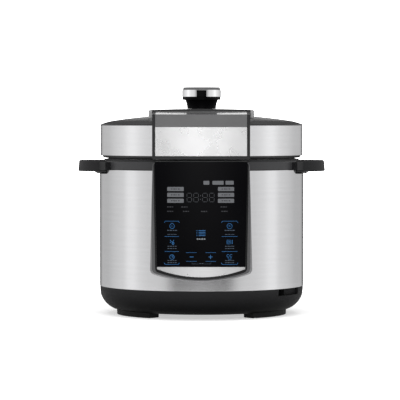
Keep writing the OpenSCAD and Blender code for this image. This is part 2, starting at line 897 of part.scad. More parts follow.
// The bridge's outer form: crowned across, its upper edges rounded, and round at the back
module bridge_form(half, back, round_r, top) {
    low = 240;
    flat = half - round_r;
    edge = crown_z(flat, top);
    intersection() {
        front_view(-nose_back + gap, back) polygon(concat(
            [[-half, low], [half, low]],
            arc(flat, edge - round_r, round_r, 0, 80, 6),
            [for (i = [10:-1:-10]) [flat * i / 10, crown_z(flat * i / 10, top)]],
            arc(-flat, edge - round_r, round_r, 100, 180, 6)
        ));
        side_view(half + 1) polygon(concat(
            [[-nose_back - 1, low], [back, low]],
            arc(back - 10, top - 9, 10, 0, 90, 10),
            [[-nose_back - 1, top + 1]]
        ));
    }
}

module bridge_openings() {
    translate([0, 0, 200]) cylinder(r = shaft_r + 1, h = 100);
    translate([0, valve_y, 200]) cylinder(r = 7, h = 100);
    translate([0, valve_y, bridge_top - 5]) cylinder(r = 17, h = 20);
    translate([float_x, float_y, 200]) cylinder(r = float_r + 0.6, h = 100);
    translate([float_x, float_y, float_cap_z - 0.4]) cylinder(r = float_cap_r + 0.6, h = 20);
}

module bridge_cover() {
    color([0.2, 0.2, 0.21]) difference() {
        bridge_form(bridge_in - 0.1, bridge_back - 5.1, 0.6, bridge_top);
        under_dome(-0.1, band_r + 0.2);
        // hollow from below, but for bosses round the shaft, the valve and the float
        difference() {
            block(bridge_in - 2.7, -nose_back + 2.8, bridge_back - 8, 200, bridge_top - 4);
            cylinder(r = 14, h = deep);
            translate([0, valve_y, 0]) cylinder(r = 19.5, h = deep);
            translate([float_x, float_y, 0]) cylinder(r = 8, h = deep);
        }
        bridge_openings();
    }
}

module bridge_trim() {
    color([0.42, 0.42, 0.43]) difference() {
        bridge_form(bridge_half, bridge_back, 2.5, bridge_top + 0.1);
        block(bridge_in, -100, bridge_back - 5, 200, 300);
        under_dome(-0.1, band_r + 0.2);
    }
}

// ---------- lid mechanism ----------

module lid_frame() {
    color([0.7, 0.7, 0.71]) difference() {
        translate([0, 0, lid_deck]) cylinder(r = 136.8, h = deck_t);
        translate([0, 0, 200]) cylinder(r = 9.05, h = 50);
        translate([0, valve_y, 200]) cylinder(r = 5.3, h = 50);
        translate([float_x, float_y, 200]) cylinder(r = float_r + 0.6, h = 50);
        block(cheek_half + 0.2, -160, -121, 200, 300);
    }
}

module shaft_bush() {
    color([0.75, 0.62, 0.3]) difference() {
        union() {
            translate([0, 0, lid_deck - 3]) cylinder(r = 9, h = 14);
            translate([0, 0, lid_deck + deck_t + 0.02]) cylinder(r = 14, h = 2);
        }
        translate([0, 0, 200]) cylinder(r = shaft_r + fit, h = 50);
    }
}

module inner_lid() {
    color([0.78, 0.78, 0.79]) difference() {
        union() {
            translate([0, 0, inner_lid_z]) cylinder(r = inner_lid_r, h = inner_lid_t);
            ring(110, 108.8, 203, inner_lid_z + 0.5);
        }
        translate([0, 0, 200]) cylinder(r = shaft_r + fit, h = 50);
        translate([0, valve_y, 200]) cylinder(r = 5.05, h = 50);
        translate([float_x, float_y, 200]) cylinder(r = float_r + fit, h = 50);
    }
}

module sealing_ring() {
    z = pot_rim + gap;
    top = inner_lid_z - 0.02;
    color([0.85, 0.85, 0.83]) rotate_extrude() polygon([
        [110.1, top], [inner_lid_r, top], [inner_lid_r, top - 0.9], [111.6, top - 1.1], [111.6, z + 0.7],
        [inner_lid_r, z + 0.5], [inner_lid_r, z], [110.1, z]
    ]);
}

module anti_block_shield() {
    color([0.75, 0.75, 0.76]) translate([0, valve_y, 0]) difference() {
        translate([0, 0, 196]) cylinder(r = 11, h = inner_lid_z - 196 - 0.02);
        translate([0, 0, 197]) cylinder(r = 10, h = 20);
        for (a = [0:30:330]) rotate([0, 0, a]) translate([5, 0, 190]) cylinder(r = 0.9, h = 10);
        for (a = [0:30:330], z = [200, 204]) rotate([0, 0, a]) translate([8, 0, z]) {
            rotate([0, 90, 0]) cylinder(r = 0.9, h = 5);
        }
    }
}

module valve_pipe() {
    color([0.7, 0.7, 0.71]) translate([0, valve_y, 0]) {
        ring(5, 2, 201, bridge_top + 1);
        ring(7.5, 4.9, inner_lid_z - 2, inner_lid_z - 0.05);
    }
}

module steam_valve() {
    z0 = bridge_top - 4.4;
    color([0.12, 0.12, 0.13]) translate([0, valve_y, 0]) difference() {
        union() {
            translate([0, 0, z0]) cylinder(r1 = 12.5, r2 = 14, h = 6);
            translate([0, 0, z0 + 6]) cylinder(r = 14, h = 5);
            translate([0, 0, z0 + 11]) cylinder(r1 = 14, r2 = 12.5, h = 1.5);
            translate([-3, -15.5, z0 + 6]) cube([6, 31, 9]);
        }
        translate([0, 0, z0 - 1]) cylinder(r = 5 + fit, h = 7);
        translate([0, 0, z0 - 1]) cylinder(r = 3.2, h = 9);
        for (a = [30, 150, 210, 330]) rotate([0, 0, a]) translate([0, 0, z0 + 7]) {
            rotate([0, 90, 0]) cylinder(r = 1.3, h = 20);
        }
    }
}

module float_valve() {
    color([0.75, 0.2, 0.18]) translate([float_x, float_y, 0]) {
        translate([0, 0, 203.3]) cylinder(r = float_r, h = float_cap_z - 203);
        translate([0, 0, 202.2]) cylinder(r = 5.5, h = 2);
        translate([0, 0, float_cap_z]) cylinder(r = float_cap_r, h = 1.4);
    }
}

// ---------- knob and lock ----------

module knob_stem() {
    z0 = bridge_top + 0.3;
    z1 = 295.7;
    lip_top = 300;
    r0 = 20;
    flare = 2.75;
    color([0.05, 0.05, 0.055]) difference() {
        rotate_extrude() polygon(concat(
            [[0, z0]],
            [for (i = [0:8]) [r0 + flare * pow(i / 8, 2), z0 + (z1 - z0) * i / 8]],
            [[26, z1], [knob_d / 2 - 0.35, lip_top - 0.05], [0, lip_top - 0.05]]
        ));
        translate([0, 0, z0 - 1]) cylinder(r = shaft_r + fit, h = 40);
    }
}

module knob_band() {
    color([0.9, 0.9, 0.91]) difference() {
        ring(knob_d / 2, knob_d / 2 - 2.5, 300, knob_top - 3.95);
        block(6.75, -30, -10, 299, 308.8);
    }
}

module knob_cap() {
    z0 = knob_top - 3.9;
    color([0.5, 0.5, 0.51]) difference() {
        union() {
            translate([0, 0, z0]) cylinder(r = 25.8, h = 2.4);
            translate([0, 0, z0 + 2.4]) cylinder(r1 = 25.8, r2 = 24.3, h = 1.5);
            ring(knob_d / 2 - 2.6, knob_d / 2 - 4.5, 306, z0 + 0.5);
        }
        block(7, -30, -10, 299, 309);
    }
}

module release_key() {
    color([0.04, 0.04, 0.045]) intersection() {
        translate([0, 0, 290]) cylinder(r = knob_d / 2 + 0.2, h = 30);
        block(6.45, -30, -13, 300.2, 308.5);
    }
}

module lock_shaft() {
    color([0.65, 0.65, 0.66]) {
        translate([0, 0, 203]) cylinder(r = shaft_r, h = 99);
        translate([0, 0, 300.1]) cylinder(r = shaft_r + 3, h = 4);
    }
}

// Where the valve pipe and the float pass while the plate turns 30 degrees
module lock_window() {
    rotate([0, 0, 76]) rotate_extrude(angle = 80) translate([57, lock_z - 1]) square([32, 6]);
}

module lock_plate() {
    color([0.68, 0.68, 0.69]) difference() {
        union() {
            translate([0, 0, lock_z]) cylinder(r = plate_r, h = lock_t);
            tooth_sectors(plate_r - 1, plate_tooth_r, plate_tooth_half, lock_z, lock_z + lock_t);
            translate([0, 0, lock_z]) cylinder(r = 12, h = 5);
        }
        translate([0, 0, 200]) cylinder(r = shaft_r + fit, h = 50);
        for (a = [0, 120, 240]) rotate([0, 0, a]) lock_window();
    }
}

module shaft_nut() {
    color([0.75, 0.62, 0.3]) difference() {
        translate([0, 0, 204]) cylinder(r = 10, h = 4.3, $fn = 6);
        translate([0, 0, 200]) cylinder(r = shaft_r + fit, h = 50);
    }
}

base_pan();
bottom_cover();
bottom_cover_screws();
base_screws();
foot_front_left();
foot_front_right();
foot_rear_left();
foot_rear_right();
outer_wrap();
top_collar();
left_handle();
right_handle();
side_screws();
locking_ring();
inner_housing();
inner_pot();
heating_plate();
heating_element();
temperature_sensor();
sensor_spring();
pressure_switch();
thermal_fuse();
control_frame();
panel_bezel();
control_glass();
crescent_trim();
display_module();
control_board();
power_board();
power_inlet();
inlet_pins();
hinge_bracket();
hinge_pin();
hinge_spring();
cup_holder();
condensate_cup();
lid_cover();
lid_band();
lid_skirt();
nose_carrier();
lid_fascia();
bridge_nose();
bridge_cover();
bridge_trim();
lid_frame();
hinge_arm();
shaft_bush();
inner_lid();
sealing_ring();
anti_block_shield();
valve_pipe();
steam_valve();
float_valve();
knob_cap();
knob_band();
knob_stem();
release_key();
lock_shaft();
lock_plate();
shaft_nut();
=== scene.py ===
"""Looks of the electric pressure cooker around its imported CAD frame. Metres, +Z up, front at -Y."""

import json
import math

import bpy
import bmesh
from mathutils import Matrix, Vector


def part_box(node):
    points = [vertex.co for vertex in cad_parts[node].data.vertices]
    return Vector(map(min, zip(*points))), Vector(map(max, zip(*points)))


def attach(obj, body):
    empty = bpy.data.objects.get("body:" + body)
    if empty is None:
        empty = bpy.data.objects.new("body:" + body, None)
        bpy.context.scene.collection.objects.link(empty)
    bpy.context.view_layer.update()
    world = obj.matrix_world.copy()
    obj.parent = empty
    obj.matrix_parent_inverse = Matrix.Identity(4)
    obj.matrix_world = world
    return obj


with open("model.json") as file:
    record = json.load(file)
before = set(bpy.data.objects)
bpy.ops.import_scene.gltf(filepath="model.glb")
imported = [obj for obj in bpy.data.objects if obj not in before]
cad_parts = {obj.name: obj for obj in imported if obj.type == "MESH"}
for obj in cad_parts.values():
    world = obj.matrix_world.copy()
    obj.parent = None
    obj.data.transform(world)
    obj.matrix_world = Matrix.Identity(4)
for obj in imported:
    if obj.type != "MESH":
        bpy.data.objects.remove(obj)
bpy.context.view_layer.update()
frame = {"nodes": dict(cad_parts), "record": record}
NODES = frame["nodes"]
MM = 0.001

# ---------- material helpers ----------


def math_node(tree, operation, a, b=0.0):
    """A Math node in tree, on numbers or sockets."""
    made = tree.nodes.new("ShaderNodeMath")
    made.operation = operation
    for slot, value in enumerate((a, b)):
        if isinstance(value, (int, float)):
            made.inputs[slot].default_value = value
        else:
            tree.links.new(value, made.inputs[slot])
    return made.outputs[0]


class Shade:
    """A node material with one Principled shader, and short ways to add to it."""

    def __init__(self, name, color, roughness=0.5, metallic=0.0, **sockets):
        self.mat = bpy.data.materials.new(name)
        self.mat.use_nodes = True
        self.tree = self.mat.node_tree
        self.shader = self.tree.nodes["Principled BSDF"]
        self.color = color
        self.set("Base Color", (*color, 1))
        self.set("Roughness", roughness)
        self.set("Metallic", metallic)
        for key, value in sockets.items():
            self.set(key.replace("_", " "), value)

    def set(self, socket, value):
        self.shader.inputs[socket].default_value = value

    def node(self, kind, **inputs):
        made = self.tree.nodes.new(kind)
        for key, value in inputs.items():
            made.inputs[key.replace("_", " ")].default_value = value
        return made

    def link(self, out, into):
        self.tree.links.new(out, into)

    def math(self, operation, a, b=0.0):
        return math_node(self.tree, operation, a, b)

    def place(self):
        """Object coordinates, in metres."""
        return self.node("ShaderNodeTexCoord").outputs["Object"]

    def round_place(self, radius, along, across):
        """Coordinates wound round the Z axis: length round it times along, and height times across."""
        split = self.node("ShaderNodeSeparateXYZ")
        self.link(self.place(), split.inputs[0])
        turn = self.math("ARCTAN2", split.outputs[0], split.outputs[1])
        join = self.node("ShaderNodeCombineXYZ")
        self.link(self.math("MULTIPLY", turn, radius * along), join.inputs[0])
        self.link(self.math("MULTIPLY", split.outputs[2], across), join.inputs[1])
        return join.outputs[0]

    def noise(self, place, scale, detail=3.0):
        made = self.node("ShaderNodeTexNoise", Scale=scale, Detail=detail)
        self.link(place, made.inputs["Vector"])
        return made.outputs["Fac"]

    def vary(self, fac, socket, low, high):
        """Drives a number socket of the shader between two values."""
        ramp = self.node("ShaderNodeMapRange", From_Min=0.3, From_Max=0.7, To_Min=low, To_Max=high)
        self.link(fac, ramp.inputs["Value"])
        self.link(ramp.outputs["Result"], self.shader.inputs[socket])

    def tint(self, fac, spread):
        """Lets the base colour drift lighter and darker by spread."""
        ramp = self.node("ShaderNodeValToRGB")
        ends = ramp.color_ramp.elements
        ends[0].position, ends[1].position = 0.3, 0.7
        ends[0].color = (*[c * (1 - spread) for c in self.color], 1)
        ends[1].color = (*[min(1, c * (1 + spread)) for c in self.color], 1)
        self.link(fac, ramp.inputs["Fac"])
        self.link(ramp.outputs["Color"], self.shader.inputs["Base Color"])

    def bump(self, fac, strength, distance):
        made = self.node("ShaderNodeBump", Strength=strength, Distance=distance)
        self.link(fac, made.inputs["Height"])
        self.link(made.outputs["Normal"], self.shader.inputs["Normal"])


PLASTIC_GRAIN = 0.0004
BODY_RADIUS = 0.14


def grained(name, color, roughness, depth, more):
    """The start of a moulded plastic: its shade, with a fine grain and slightly uneven gloss."""
    s = Shade(name, color, roughness, **more)
    place = s.place()
    s.bump(s.noise(place, 1 / PLASTIC_GRAIN, 2), 0.25, depth)
    s.vary(s.noise(place, 18, 3), "Roughness", roughness * 0.9, roughness * 1.12)
    return s, place


def moulded(name, color, roughness, depth=0.00002, **more):
    """Moulded plastic of one colour, slightly mottled."""
    s, place = grained(name, color, roughness, depth, more)
    s.tint(s.noise(place, 25, 2), 0.06)
    return s.mat


def brushed_round(name, color, roughness):
    """Sheet steel brushed round the body: hair lines round the Z axis."""
    s = Shade(name, color, roughness, 1.0, Anisotropic=0.8, Anisotropic_Rotation=0.25)
    tangent = s.node("ShaderNodeTangent")
    tangent.direction_type, tangent.axis = "RADIAL", "Z"
    s.link(tangent.outputs[0], s.shader.inputs["Tangent"])
    lines = s.noise(s.round_place(BODY_RADIUS, 9, 1600), 1.0, 4)
    s.bump(lines, 0.05, 0.00001)
    s.vary(lines, "Roughness", roughness * 0.92, roughness * 1.1)
    s.tint(s.noise(s.round_place(BODY_RADIUS, 14, 240), 1.0, 3), 0.018)
    return s.mat


def plain_metal(name, color, roughness, grain=0.0008, spread=0.05, metallic=1.0, relief=0.15):
    """Pressed, plated or machined metal with a faint even grain."""
    s = Shade(name, color, roughness, metallic)
    place = s.place()
    s.bump(s.noise(place, 1 / grain, 3), relief, 0.00002)
    s.vary(s.noise(place, 40, 4), "Roughness", roughness * 0.8, roughness * 1.25)
    s.tint(s.noise(place, 30, 3), spread)
    return s.mat


def satin_metal(name, color, roughness):
    """Painted or anodised metal: part mirror, part paint, with a very fine grain."""
    return plain_metal(name, color, roughness, grain=0.0005, spread=0.02, metallic=0.7, relief=0.12)


def turned(name, color, roughness):
    """A face turned on a lathe: rings round the Z axis."""
    s = Shade(name, color, roughness, 1.0)
    split = s.node("ShaderNodeSeparateXYZ")
    s.link(s.place(), split.inputs[0])
    square = [s.math("MULTIPLY", split.outputs[i], split.outputs[i]) for i in (0, 1)]
    radius = s.math("SQRT", s.math("ADD", *square))
    join = s.node("ShaderNodeCombineXYZ")
    s.link(s.math("MULTIPLY", radius, 1400), join.inputs[0])
    s.link(s.math("MULTIPLY", split.outputs[2], 500), join.inputs[1])
    rings = s.noise(join.outputs[0], 1.0, 4)
    s.bump(rings, 0.08, 0.00001)
    s.vary(rings, "Roughness", roughness * 0.8, roughness * 1.25)
    s.tint(s.noise(s.place(), 20, 3), 0.04)
    return s.mat


def plastic_with_painted_shade(name, color, roughness, low, high, **more):
    """Moulded plastic with painted shade: its colour grows deeper black from the height high down to low.
    """
    s, place = grained(name, color, roughness, 0.00002, more)
    split = s.node("ShaderNodeSeparateXYZ")
    s.link(place, split.inputs[0])
    height = s.node("ShaderNodeMapRange", From_Min=low, From_Max=high)
    height.interpolation_type = "SMOOTHSTEP"
    s.link(split.outputs[2], height.inputs["Value"])
    # Painted shade: the base colour is darkened by height, not by anything the plastic has
    ramp = s.node("ShaderNodeValToRGB")
    ends = ramp.color_ramp.elements
    # The dark end of the painted shade, at the bottom
    ends[0].color = (*[c * 0.03 for c in color], 1)
    ends[1].color = (*color, 1)
    mottle = s.math("MULTIPLY", s.noise(place, 25, 2), 0.06)
    # The painted shade by height, with a little mottle on top
    shade_and_mottle = s.math("ADD", height.outputs["Result"], mottle)
    s.link(shade_and_mottle, ramp.inputs["Fac"])
    s.link(ramp.outputs["Color"], s.shader.inputs["Base Color"])
    return s.mat


def gloss_glass():
    """The panel's printed glass: deep black, with a trace of unevenness in its gloss."""
    s = Shade("panel_glass", (0.002, 0.002, 0.0026), 0.12, IOR=1.5, Specular_IOR_Level=0.04)
    place = s.place()
    s.vary(s.noise(place, 30, 3), "Roughness", 0.10, 0.15)
    s.tint(s.noise(place, 9, 2), 0.2)
    return s.mat


def printed(name, color, glow):
    """Ink and lit symbols on the panel, with the dots of a screen print."""
    s = Shade(name, color, 0.45, Emission_Color=(*color, 1), Emission_Strength=glow)
    s.tint(s.noise(s.place(), 2500, 2), 0.12)
    return s.mat


def clear_plastic():
    """The see-through plastic of the condensate cup."""
    s = Shade("cup_plastic", (0.78, 0.82, 0.84), 0.18, Transmission_Weight=0.75, IOR=1.46)
    s.vary(s.noise(s.place(), 60, 3), "Roughness", 0.12, 0.26)
    return s.mat


def circuit_board():
    """Green board with a pattern of lighter tracks."""
    s = Shade("board", (0.02, 0.13, 0.06), 0.4)
    place = s.place()
    tracks = s.node("ShaderNodeTexBrick", Scale=160.0, Mortar_Size=0.08)
    tracks.inputs["Color1"].default_value = (0.02, 0.15, 0.07, 1)
    tracks.inputs["Color2"].default_value = (0.02, 0.11, 0.05, 1)
    tracks.inputs["Mortar"].default_value = (0.10, 0.30, 0.13, 1)
    s.link(place, tracks.inputs["Vector"])
    s.link(tracks.outputs["Color"], s.shader.inputs["Base Color"])
    return s.mat


def rubbery(name, color, roughness, **more):
    """Rubber or silicone, softly grained."""
    s = Shade(name, color, roughness, **more)
    s.bump(s.noise(s.place(), 1200, 3), 0.3, 0.00004)
    s.tint(s.noise(s.place(), 60, 3), 0.1)
    return s.mat


DARK = {"Specular_IOR_Level": 0.25}

MATERIALS = {
    "brushed_steel": brushed_round("brushed_steel", (0.745, 0.745, 0.755), 0.24),
    "wrap_steel": brushed_round("wrap_steel", (0.67, 0.67, 0.68), 0.11),
    "fascia_metal": satin_metal("fascia_metal", (0.975, 0.975, 0.98), 0.27),
    "crescent_metal": satin_metal("crescent_metal", (0.55, 0.55, 0.555), 0.30),
    "stamped_steel": plain_metal("stamped_steel", (0.62, 0.62, 0.63), 0.34),
    "pressed_aluminium": plain_metal("pressed_aluminium", (0.66, 0.66, 0.67), 0.38),
    "pot_steel": turned("pot_steel", (0.70, 0.70, 0.71), 0.24),
    "cast_aluminium": turned("cast_aluminium", (0.60, 0.60, 0.61), 0.45),
    "chrome": plain_metal("chrome", (0.90, 0.90, 0.91), 0.06, grain=0.002, spread=0.01),
    "screw_steel": plain_metal("screw_steel", (0.55, 0.55, 0.57), 0.3),
    "brass": plain_metal("brass", (0.72, 0.52, 0.24), 0.3),
    # The base's lower part is darkened towards the bottom by painted shade
    "base_plastic": plastic_with_painted_shade(
        "base_plastic", (0.024, 0.024, 0.025), 0.5, low=0.006, high=0.05, Specular_IOR_Level=0.02
    ),
    "collar_plastic": moulded("collar_plastic", (0.040, 0.040, 0.042), 0.4, **DARK),
    "handle_plastic": moulded("handle_plastic", (0.010, 0.010, 0.011), 0.5, Specular_IOR_Level=0.2),
    "dome_plastic": moulded("dome_plastic", (0.030, 0.030, 0.031), 0.25, depth=0.000005, **DARK),
    "bridge_plastic": moulded("bridge_plastic", (0.16, 0.16, 0.162), 0.12, depth=0.000003),
    "bezel_plastic": moulded("bezel_plastic", (0.006, 0.006, 0.0065), 0.28, depth=0.000005, **DARK),
    "frame_plastic": moulded("frame_plastic", (0.085, 0.085, 0.088), 0.36, **DARK),
    "trim_plastic": moulded("trim_plastic", (0.48, 0.48, 0.482), 0.3, depth=0.000005),
    "cheek_plastic": moulded("cheek_plastic", (0.026, 0.026, 0.027), 0.4, **DARK),
    "skirt_plastic": moulded("skirt_plastic", (0.034, 0.034, 0.035), 0.45, **DARK),
    "panel_glass": gloss_glass(),
    "knob_cap_plastic": moulded("knob_cap_plastic", (0.135, 0.135, 0.138), 0.4),
    "knob_plastic": moulded(
        "knob_plastic", (0.003, 0.003, 0.0035), 0.25, depth=0.000005, Specular_IOR_Level=0.05
    ),
    "valve_plastic": moulded("valve_plastic", (0.014, 0.014, 0.015), 0.4, **DARK),
    "float_metal": plain_metal("float_metal", (0.45, 0.04, 0.03), 0.35),
    "feet_rubber": rubbery("feet_rubber", (0.006, 0.006, 0.006), 0.7, Specular_IOR_Level=0.12),
    "silicone": rubbery("silicone", (0.70, 0.70, 0.68), 0.35, Subsurface_Weight=0.2),
    "cup_plastic": clear_plastic(),
    "board": circuit_board(),
    "inner_black": moulded("inner_black", (0.02, 0.02, 0.02), 0.5),
    "fuse_ceramic": moulded("fuse_ceramic", (0.7, 0.66, 0.58), 0.4),
}

# Nodes with a finish of their own within their slot
FINER = {
    "crescent_trim": "crescent_metal",
    "outer_wrap": "wrap_steel",
    "bridge_trim": "trim_plastic",
    "nose_carrier": "cheek_plastic",
    "lid_skirt": "skirt_plastic",
}

for part in frame["record"]["subparts"]:
    mesh = NODES[part["node"]].data
    mesh.materials.clear()
    mesh.materials.append(MATERIALS[FINER.get(part["node"], part["material_slot"])])

# ---------- panel graphics ----------

INK = {
    "bar": printed("panel_bar", (0.115, 0.12, 0.13), 0.0),
    "dim": printed("panel_dim", (0.011, 0.012, 0.017), 0.0),
    "digit": printed("panel_digit", (0.06, 0.065, 0.075), 0.0),
    "blue": printed("panel_blue", (0.007, 0.11, 0.30), 0.07),
    "label": printed("panel_label", (0.032, 0.05, 0.075), 0.0),
    "white": printed("panel_white", (0.22, 0.24, 0.26), 0.0),
}

# The glass as the frame has it: its front is an arc of radius CURVE in plan, GLASS_FRONT ahead of
# the axis at the top edge, and leans by TILT about that edge
CURVE = 320 * MM
TILT = math.radians(2.5)
GLASS_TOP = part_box("control_glass")[1].z
GLASS_FRONT = 148 * MM
INK_LIFT = 0.06 * MM
INK_THICK = 0.10 * MM
# The longest stretch of ink between two points, in mm, so that it follows the curve
INK_STEP = 2.5


def on_glass(x, z, lift):
    """The point over the glass at x and height z, lifted off it by lift."""
    along = (z - GLASS_TOP) / math.cos(TILT)
    out = math.sqrt((CURVE + lift) ** 2 - x * x) - CURVE
    return Vector((x, -GLASS_FRONT - out * math.cos(TILT) + along * math.sin(TILT), z))


class Ink:
    """One colour of print: bars, lines and arcs laid on the glass as thin closed plates."""

    def __init__(self, name, material):
        self.name, self.material = name, material
        self.bm = bmesh.new()

    def strip(self, left, right):
        """A closed plate between two rows of points, given in x and z."""
        rows = []
        for lift in (INK_LIFT + INK_THICK, INK_LIFT):
            for side in (left, right):
                rows.append([self.bm.verts.new(on_glass(x, z, lift)) for x, z in side])
        a, b, c, d = rows
        face = self.bm.faces.new
        for i in range(len(a) - 1):
            face((a[i], a[i + 1], b[i + 1], b[i]))
            face((c[i], d[i], d[i + 1], c[i + 1]))
            face((a[i], c[i], c[i + 1], a[i + 1]))
            face((b[i], b[i + 1], d[i + 1], d[i]))
        face((a[0], b[0], d[0], c[0]))
        face((a[-1], c[-1], d[-1], b[-1]))

    def path(self, points, width):
        """A line of a given width through points, in mm."""
        dense = [points[0]]
        for (x0, z0), (x1, z1) in zip(points, points[1:]):
            count = max(1, round(math.dist((x0, z0), (x1, z1)) / INK_STEP))
            for i in range(1, count + 1):
                dense.append((x0 + (x1 - x0) * i / count, z0 + (z1 - z0) * i / count))
        left, right = [], []
        for i, (x, z) in enumerate(dense):
            x0, z0 = dense[max(0, i - 1)]
            x1, z1 = dense[min(len(dense) - 1, i + 1)]
            size = math.hypot(x1 - x0, z1 - z0) or 1
            nx, nz = -(z1 - z0) / size * width / 2, (x1 - x0) / size * width / 2
            left.append(((x + nx) * MM, (z + nz) * MM))
            right.append(((x - nx) * MM, (z - nz) * MM))
        self.strip(left, right)

    def bar(self, x0, x1, z, height, corner=0.8):
        """A bar from x0 to x1 about the height z, its corners rounded."""
        steps = max(4, round((x1 - x0) / INK_STEP))
        spots = [x0, x0 + corner * 0.3, x0 + corner]
        spots += [x0 + corner + (x1 - x0 - 2 * corner) * i / steps for i in range(1, steps)]
        spots += [x1 - corner, x1 - corner * 0.3, x1]
        half = height / 2
        corners = [half - corner, half - corner * 0.3]
        halves = corners + [half] * (len(spots) - 4) + corners[::-1]
        top = [(x * MM, (z + h) * MM) for x, h in zip(spots, halves)]
        bottom = [(x * MM, (z - h) * MM) for x, h in zip(spots, halves)]
        self.strip(top, bottom)

    def circle(self, x, z, radius, width, start=0, end=360):
        count = max(8, round(abs(end - start) / 15))
        turns = [math.radians(start + (end - start) * i / count) for i in range(count + 1)]
        self.path([(x + radius * math.cos(t), z + radius * math.sin(t)) for t in turns], width)

    def dashes(self, x, z, widths, height, space=0.7):
        """A row of short bars centred on x, standing in for a word."""
        total = sum(widths) + space * (len(widths) - 1)
        at = x - total / 2
        for w in widths:
            self.bar(at, at + w, z, height, min(0.3, w / 3, height / 3))
            at += w + space

    def finish(self):
        bmesh.ops.recalc_face_normals(self.bm, faces=self.bm.faces)
        mesh = bpy.data.meshes.new(self.name)
        self.bm.to_mesh(mesh)
        self.bm.free()
        mesh.materials.append(self.material)
        made = bpy.data.objects.new(self.name, mesh)
        bpy.context.scene.collection.objects.link(made)
        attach(made, "base")


# The layout below is in mm: x from the middle to the right, z up from the floor
PILL_ROWS = (176.3, 168.5, 160.7)
PILL = 5.5
# Line widths, and how far the end of a bracket turns
LINE = 0.42
FINE = 0.35
BOLD = 0.75
BRACKET = 2.2


def draw_status_bars():
    ink = Ink("panel_status_bars", INK["bar"])
    for z in PILL_ROWS:
        ink.bar(-45, -23, z, PILL)
        ink.bar(22.4, 43.9, z, PILL)
    for x0, x1 in ((3.2, 11), (15, 30), (32.4, 43.4)):
        ink.bar(x0, x1, 184.6, 5.2)
    ink.finish()
    dark = Ink("panel_status_words", INK["dim"])
    for z in PILL_ROWS:
        for x in (-34, 33.2):
            for i, w in enumerate((2.4, 3.2, 2.0, 2.8)):
                dark.bar(x - 6 + i * 3.1, x - 6 + i * 3.1 + w * 0.8, z, 1.3, 0.3)
    for z, spots in ((152.5, (-41, -22, 30)), (146.7, (-41, -20, 4, 31))):
        for x in spots:
            dark.dashes(x, z, (2.2, 3.0, 1.6), 1.4)
    dark.finish()


def draw_digits():
    """Four outlined digits of seven segments each and the colon between them."""
    ink = Ink("panel_digits", INK["digit"])
    low, high, half = 159.3, 170.8, 3.1
    mid = (low + high) / 2
    for x in (-15.6, -6.6, 5.2, 14.2):
        for z in (low, mid, high):
            ink.path([(x - half + 0.8, z), (x + half - 0.8, z)], LINE)
        for side in (-half, half):
            for z0, z1 in ((low, mid), (mid, high)):
                ink.path([(x + side, z0 + 0.8), (x + side, z1 - 0.8)], LINE)
    for z in (mid - 2.4, mid + 2.4):
        ink.bar(-1.2, -0.2, z, 1.0, 0.3)
    ink.finish()


def bracket(ink, x0, x1, z, down):
    """A line with both ends turned up or down."""
    tip = z - BRACKET if down else z + BRACKET
    ink.path([(x0, tip), (x0 + 1.2, z)], LINE)
    ink.path([(x0 + 1.2, z), (x1 - 1.2, z)], LINE)
    ink.path([(x1 - 1.2, z), (x1, tip)], LINE)


def icon_cook(ink, x, z):
    ink.circle(x, z, 3.1, 0.55, 110, 430)
    ink.path([(x - 1.6, z + 3.7), (x + 1.6, z + 3.7)], 0.5)
    ink.path([(x - 1.2, z - 0.4), (x, z + 0.4), (x + 1.2, z - 0.4)], 0.35)


def icon_heat(ink, x, z):
    ink.path([(x - 2.8, z - 1), (x - 1, z + 1.0), (x + 0.4, z - 0.4), (x + 2.4, z + 2.8)], 0.65)
    ink.circle(x + 1.3, z - 1.7, 1.3, 0.8)
    ink.bar(x - 2.6, x - 1.4, z + 2.2, 1.1, 0.3)


def icon_timer(ink, x, z):
    ink.circle(x, z, 3.1, 0.5, 60, 390)
    ink.path([(x, z + 2.2), (x, z), (x + 2.0, z - 0.6)], 0.6)
    ink.path([(x + 0.9, z + 1.0), (x + 2.2, z + 1.9)], 1.0)


def icon_start(ink, x, z):
    ink.circle(x, z, 3.4, 0.5)
    ink.path([(x - 0.8, z + 1.2), (x + 1.2, z), (x - 0.8, z - 1.2), (x - 0.8, z + 1.2)], 0.5)


def icon_thermometer(ink, x, z):
    left, right, top, bottom = x - 3.6, x + 1.0, z + 2.6, z - 2.4
    ink.path([(left, top), (right, top), (right, bottom), (left, bottom), (left, top)], 0.45)
    ink.circle(x - 1.3, z + 0.1, 1.2, 0.45)
    ink.path([(x + 3.4, z + 2.8), (x + 3.4, z - 2.6)], 0.8)


def icon_chef(ink, x, z):
    for dx, dz in ((-2, 1.5), (2, 1.5)):
        ink.circle(x + dx, z + dz, 1.7, 0.5, 40, 320)
    ink.path([(x - 2, z - 0.6), (x - 1.6, z - 3.0), (x + 1.6, z - 3.0), (x + 2, z - 0.6)], 0.5)


